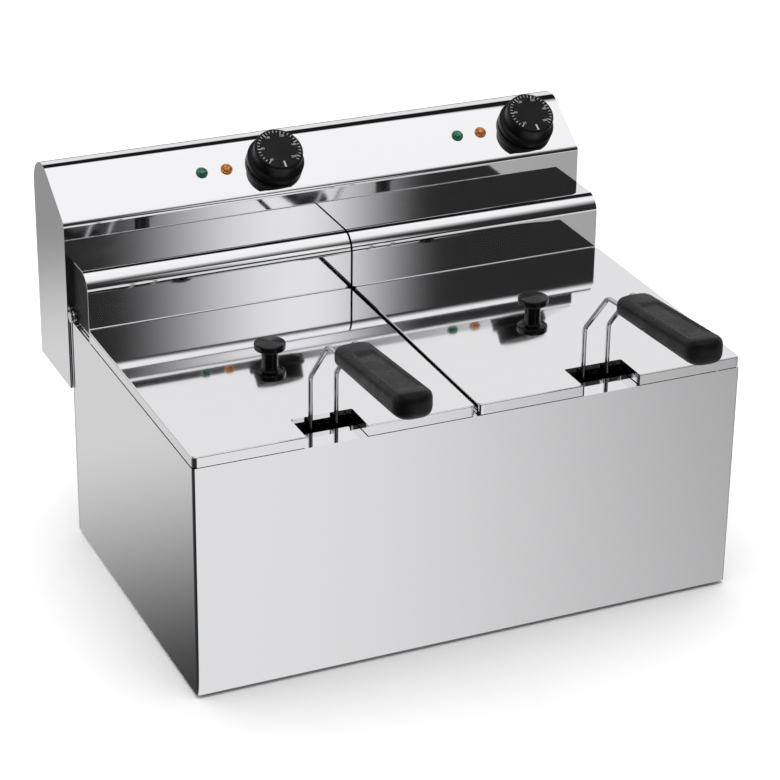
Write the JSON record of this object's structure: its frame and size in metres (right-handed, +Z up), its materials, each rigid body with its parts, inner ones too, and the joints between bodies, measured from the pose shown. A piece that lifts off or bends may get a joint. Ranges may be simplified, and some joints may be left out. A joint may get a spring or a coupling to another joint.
{
  "type": "deep fryer",
  "caption": "Countertop electric deep fryer: polished steel box with oil bowls, wire baskets, notched lids and a lift-off rear control head with dials and pilot lamps.",
  "frame": {"origin": "on the worktop plane that the feet stand on, under the middle of the whole fryer from the handles' tips to the screws in its back", "axes": "+X to the right of a cook facing the fryer, +Y to the back, +Z up; the front and the basket handles face -Y"},
  "size_m": [0.5552, 0.6144, 0.3871],
  "materials": {
    "polished_steel": "polished",
    "satin_steel": "satin",
    "screw_steel": "polished",
    "chromed_wire": "polished",
    "element_steel": "satin",
    "rubber": "matte",
    "grip_plastic": "satin",
    "knob_plastic": "gloss",
    "dial_plastic": "satin",
    "green_lens": "gloss",
    "orange_lens": "gloss",
    "dark_insulator": "matte",
    "reset_red": "gloss"
  },
  "bodies": {
    "housing": {"casing": "polished_steel", "rear_wall": "polished_steel", "base_plate": "satin_steel", "deck": "polished_steel", "rear_wall_screws": "screw_steel", "feet": "rubber", "foot_screws": "screw_steel", "bowl_left": "satin_steel", "bowl_right": "satin_steel"},
    "head": {"column_shell": "polished_steel", "column_end_left": "polished_steel", "column_end_right": "polished_steel", "column_floor": "polished_steel", "service_cover": "polished_steel", "service_cover_screws": "screw_steel", "cable_gland": "dark_insulator", "saddle": "polished_steel", "support_studs": "screw_steel", "sensing_bulbs": "element_steel", "thermostats": "dark_insulator", "green_lamps": "green_lens", "orange_lamps": "orange_lens", "lamp_bodies": "dark_insulator", "safety_cutouts": "dark_insulator", "reset_bushes": "dark_insulator", "terminal_block": "dark_insulator", "contactors": "dark_insulator", "cover_left": "polished_steel", "cover_right": "polished_steel", "terminal_box_left": "dark_insulator", "terminal_box_right": "dark_insulator", "element_plate_left": "satin_steel", "element_plate_right": "satin_steel", "element_left": "element_steel", "element_right": "element_steel", "basket_racks": "element_steel"},
    "basket_left": {"basket_mesh_left": "chromed_wire", "basket_frame_left": "chromed_wire", "handle_rods_left": "chromed_wire", "grip_left": "grip_plastic"},
    "lid_left": {"lid_left": "polished_steel", "lid_knob_left": "knob_plastic", "lid_screw_left": "screw_steel"},
    "dial_left": {"dial_left": "dial_plastic", "dial_shaft_left": "screw_steel"},
    "reset_left": {"reset_button_left": "reset_red"},
    "basket_right": {"basket_mesh_right": "chromed_wire", "basket_frame_right": "chromed_wire", "handle_rods_right": "chromed_wire", "grip_right": "grip_plastic"},
    "lid_right": {"lid_right": "polished_steel", "lid_knob_right": "knob_plastic", "lid_screw_right": "screw_steel"},
    "dial_right": {"dial_right": "dial_plastic", "dial_shaft_right": "screw_steel"},
    "reset_right": {"reset_button_right": "reset_red"}
  },
  "joints": [
    {"name": "head_lift", "type": "slide", "parent": "housing", "child": "head", "axis": [0, 0, 1], "range_m": [0, 0.24]},
    {"name": "basket_lift_left", "type": "slide", "parent": "head", "child": "basket_left", "axis": [0, 0, 1], "range_m": [0, 0.22]},
    {"name": "lid_lift_left", "type": "slide", "parent": "basket_left", "child": "lid_left", "axis": [0, 0, 1], "range_m": [0, 0.14]},
    {"name": "dial_turn_left", "type": "hinge", "parent": "head", "child": "dial_left", "pos_m": [-0.048, 0.23974, 0.35513], "axis": [0, 0.5592, -0.829], "range_deg": [0, 270]},
    {"name": "reset_press_left", "type": "slide", "parent": "head", "child": "reset_left", "axis": [0, 0, 1], "range_m": [0, 0.0025], "stiffness_N_per_m": 400, "springref_m": -0.001},
    {"name": "basket_lift_right", "type": "slide", "parent": "head", "child": "basket_right", "axis": [0, 0, 1], "range_m": [0, 0.22]},
    {"name": "lid_lift_right", "type": "slide", "parent": "basket_right", "child": "lid_right", "axis": [0, 0, 1], "range_m": [0, 0.14]},
    {"name": "dial_turn_right", "type": "hinge", "parent": "head", "child": "dial_right", "pos_m": [0.23, 0.23974, 0.35513], "axis": [0, 0.5592, -0.829], "range_deg": [0, 270]},
    {"name": "reset_press_right", "type": "slide", "parent": "head", "child": "reset_right", "axis": [0, 0, 1], "range_m": [0, 0.0025], "stiffness_N_per_m": 400, "springref_m": -0.001}
  ]
}
